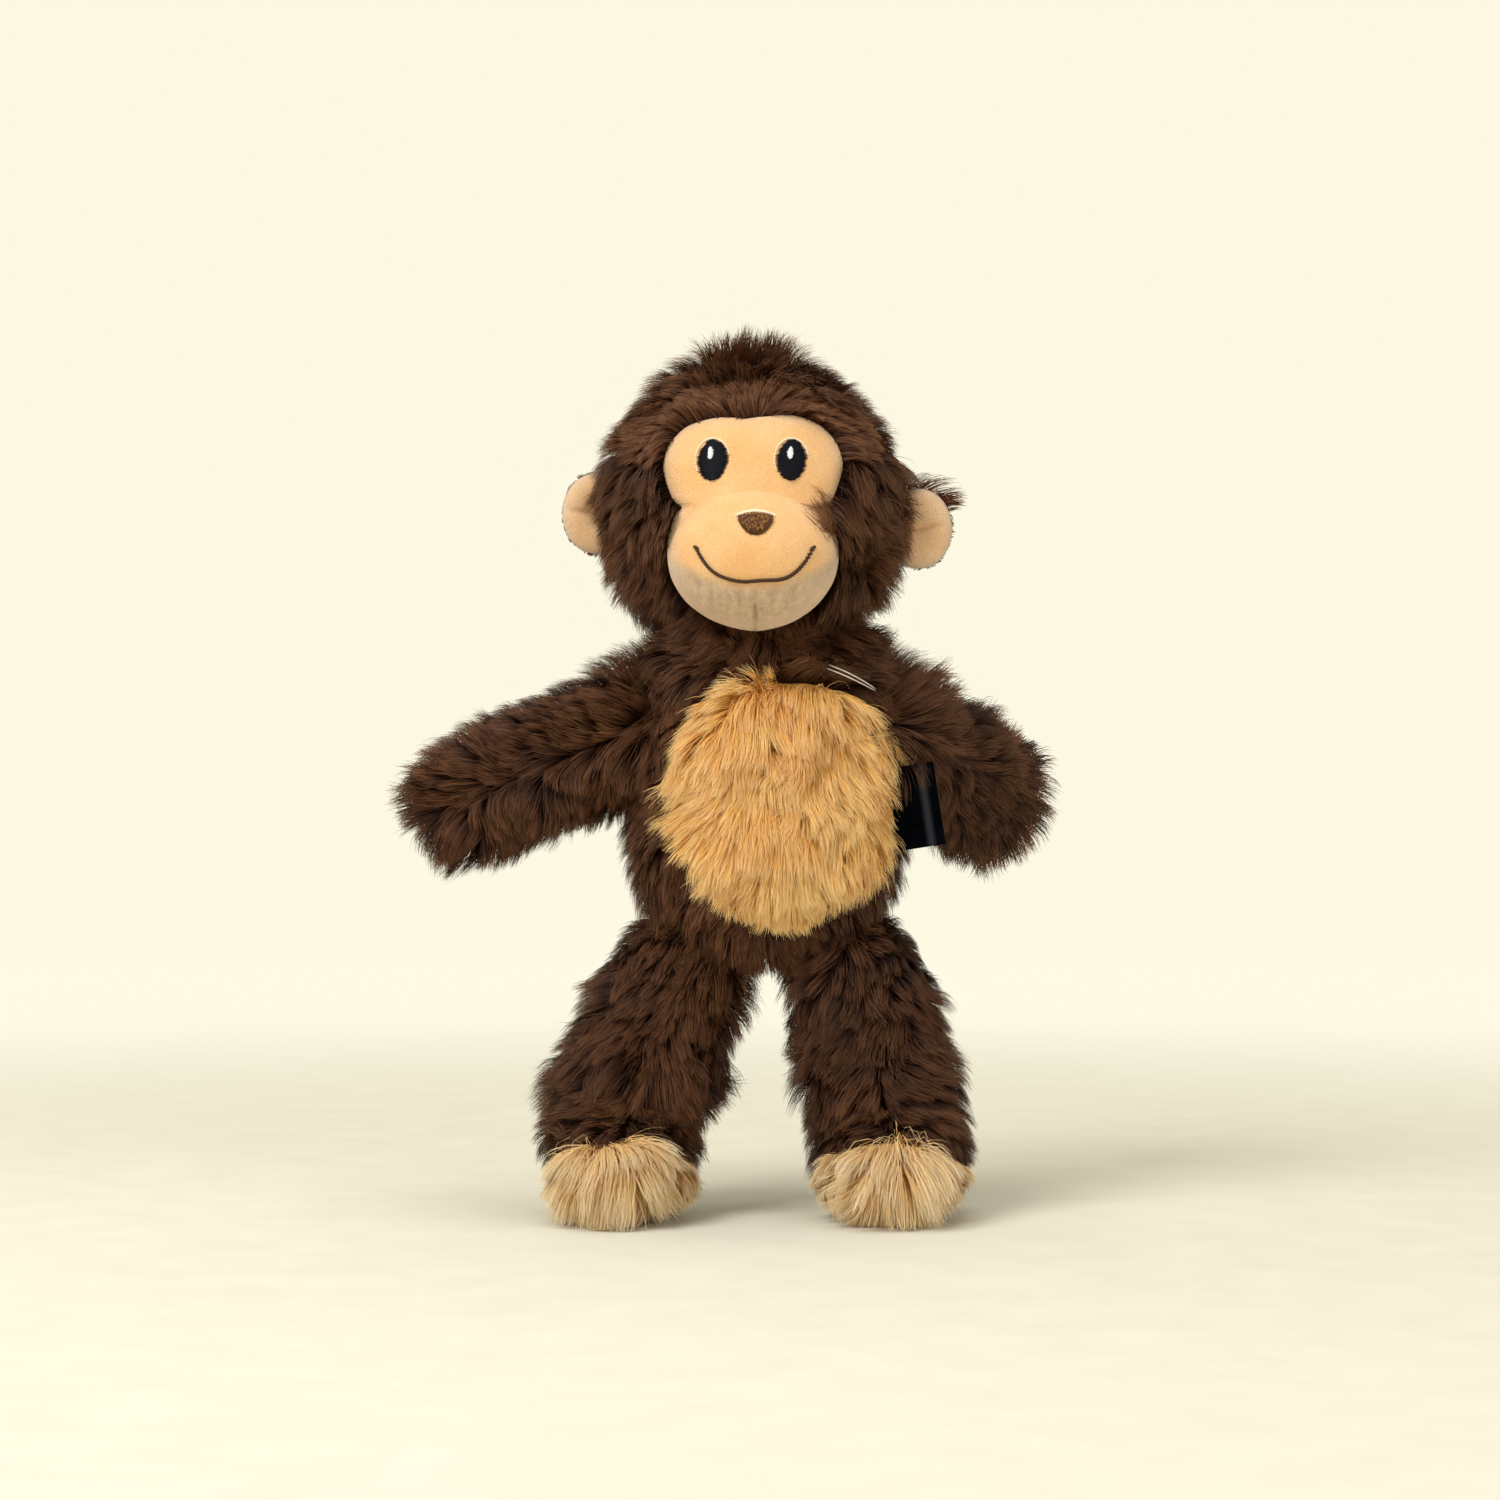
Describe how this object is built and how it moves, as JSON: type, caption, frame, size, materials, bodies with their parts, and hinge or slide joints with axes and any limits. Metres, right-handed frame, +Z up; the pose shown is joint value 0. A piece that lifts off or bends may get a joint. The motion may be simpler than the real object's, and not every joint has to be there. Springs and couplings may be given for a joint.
{
  "type": "stuffed monkey",
  "caption": "Standing soft toy monkey in long brown plush with a tan belly and soles, a velour face and ears, an embroidered smile and a side label.",
  "frame": {"origin": "on the floor, under the middle of the toy's own box", "axes": "+Z up, the face looks along -Y, the toy's left is +X"},
  "size_m": [0.2054, 0.1186, 0.281],
  "materials": {
    "brown_plush": "long clumped pile, matt with a soft sheen",
    "tan_plush": "long combed pile, matt with a soft sheen",
    "peach_velour": "short brushed pile, matt",
    "fibrefill": "loose polyester fibre",
    "navy_thread": "filled satin stitch",
    "white_thread": "filled satin stitch",
    "cream_thread": "narrow satin stitch",
    "brown_thread": "filled satin stitch",
    "black_satin": "woven satin ribbon, soft shine",
    "clear_nylon": "clear drawn thread"
  },
  "bodies": {
    "torso": {"torso_stuffing": "fibrefill", "torso_front_panel": "brown_plush", "torso_back_left_panel": "brown_plush", "torso_back_right_panel": "brown_plush", "belly_patch": "tan_plush", "tag_loop": "clear_nylon"},
    "neck": {"neck_stuffing": "fibrefill"},
    "head": {"head_brow_panel": "brown_plush", "head_left_cheek_panel": "brown_plush", "head_right_cheek_panel": "brown_plush", "head_back_left_panel": "brown_plush", "head_back_right_panel": "brown_plush", "left_eye_thread": "navy_thread", "left_eye_glint": "white_thread", "left_eye_rim": "cream_thread", "right_eye_thread": "navy_thread", "right_eye_glint": "white_thread", "right_eye_rim": "cream_thread", "face_panel": "peach_velour", "muzzle_panel": "peach_velour", "head_stuffing": "fibrefill", "muzzle_stuffing": "fibrefill", "nose_thread": "brown_thread", "mouth_thread": "brown_thread"},
    "left_ear": {"left_ear_front": "peach_velour", "left_ear_back": "brown_plush"},
    "left_arm": {"left_arm_upper_panel": "brown_plush", "left_arm_lower_panel": "brown_plush", "left_arm_stuffing": "fibrefill"},
    "left_leg": {"left_leg_outer_panel": "brown_plush", "left_leg_inner_panel": "brown_plush", "left_sole": "tan_plush", "left_leg_stuffing": "fibrefill"},
    "right_ear": {"right_ear_front": "peach_velour", "right_ear_back": "brown_plush"},
    "right_arm": {"right_arm_upper_panel": "brown_plush", "right_arm_lower_panel": "brown_plush", "right_arm_stuffing": "fibrefill"},
    "right_leg": {"right_leg_outer_panel": "brown_plush", "right_leg_inner_panel": "brown_plush", "right_sole": "tan_plush", "right_leg_stuffing": "fibrefill"},
    "label": {"side_label": "black_satin"}
  },
  "joints": [
    {"name": "neck_nod", "type": "hinge", "parent": "torso", "child": "neck", "pos_m": [0.00927, -0.0043, 0.194], "axis": [1, 0, 0], "range_deg": [-15, 15]},
    {"name": "head_turn", "type": "hinge", "parent": "neck", "child": "head", "pos_m": [0.00927, -0.0043, 0.194], "axis": [0, 0, 1], "range_deg": [-40, 40]},
    {"name": "right_shoulder_raise", "type": "hinge", "parent": "torso", "child": "right_arm", "pos_m": [-0.02673, -0.0053, 0.162], "axis": [0, 1, 0], "range_deg": [-18, 60]},
    {"name": "left_shoulder_raise", "type": "hinge", "parent": "torso", "child": "left_arm", "pos_m": [0.04627, -0.0023, 0.16], "axis": [0, -1, 0], "range_deg": [-18, 60]},
    {"name": "right_hip_swing", "type": "hinge", "parent": "torso", "child": "right_leg", "pos_m": [-0.01373, -0.0063, 0.084], "axis": [-1, 0, 0], "range_deg": [-20, 80]},
    {"name": "left_hip_swing", "type": "hinge", "parent": "torso", "child": "left_leg", "pos_m": [0.04127, -0.0063, 0.084], "axis": [-1, 0, 0], "range_deg": [-20, 80]},
    {"name": "right_ear_fold", "type": "hinge", "parent": "head", "child": "right_ear", "pos_m": [-0.03773, -0.00129, 0.233], "axis": [0, 0, 1], "range_deg": [-25, 25], "stiffness_Nm_per_rad": 0.002},
    {"name": "left_ear_fold", "type": "hinge", "parent": "head", "child": "left_ear", "pos_m": [0.05577, -0.00129, 0.228], "axis": [0, 0, -1], "range_deg": [-25, 25], "stiffness_Nm_per_rad": 0.002},
    {"name": "label_flap", "type": "hinge", "parent": "torso", "child": "label", "pos_m": [0.05207, -0.0173, 0.134], "axis": [0.1167, 0, 0.9932], "range_deg": [-30, 30], "stiffness_Nm_per_rad": 0.0005}
  ]
}
